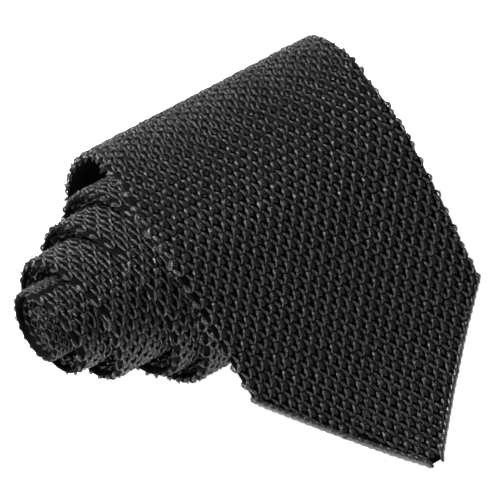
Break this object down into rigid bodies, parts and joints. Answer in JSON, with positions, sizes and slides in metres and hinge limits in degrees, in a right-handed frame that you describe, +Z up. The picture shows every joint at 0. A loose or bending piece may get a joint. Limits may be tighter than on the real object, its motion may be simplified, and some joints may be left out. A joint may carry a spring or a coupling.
{
  "type": "necktie",
  "caption": "Black pointed knitted necktie, folded in half and rolled up, with its wide blade coming over the roll down to the surface.",
  "frame": {"origin": "middle of the flat strip under the roll that the tie rests on", "axes": "+X along the roll's axis, away from the end where the inner turns stand out; -Y towards the free blade's point; +Z up"},
  "size_m": [0.1154, 0.1183, 0.0698],
  "materials": {
    "black_knit": "matte",
    "grey_wool": "matte",
    "black_lining": "satin",
    "black_thread": "satin",
    "grey_label": "satin",
    "white_label": "matte"
  },
  "bodies": {
    "roll": {"knit_blade": "black_knit", "knit_neck": "black_knit", "knit_tail": "black_knit", "interlining_blade": "grey_wool", "interlining_neck": "grey_wool", "interlining_tail": "grey_wool", "tail_tipping": "black_lining", "keeper_loop": "black_knit", "maker_label": "grey_label", "care_label": "white_label", "tail_bar_tack": "black_thread", "slip_stitch_blade": "black_thread", "slip_stitch_neck": "black_thread", "slip_stitch_tail": "black_thread", "seam_thread_blade_neck": "black_thread", "seam_thread_neck_tail": "black_thread"},
    "free_blade": {"knit_point": "black_knit", "interlining_point": "grey_wool", "blade_tipping": "black_lining", "slip_stitch_point": "black_thread", "blade_bar_tack": "black_thread"}
  },
  "joints": [
    {"name": "blade_lift", "type": "hinge", "parent": "roll", "child": "free_blade", "pos_m": [0, 0.00553, 0.06985], "axis": [-1, 0, 0], "range_deg": [0, 70]}
  ]
}
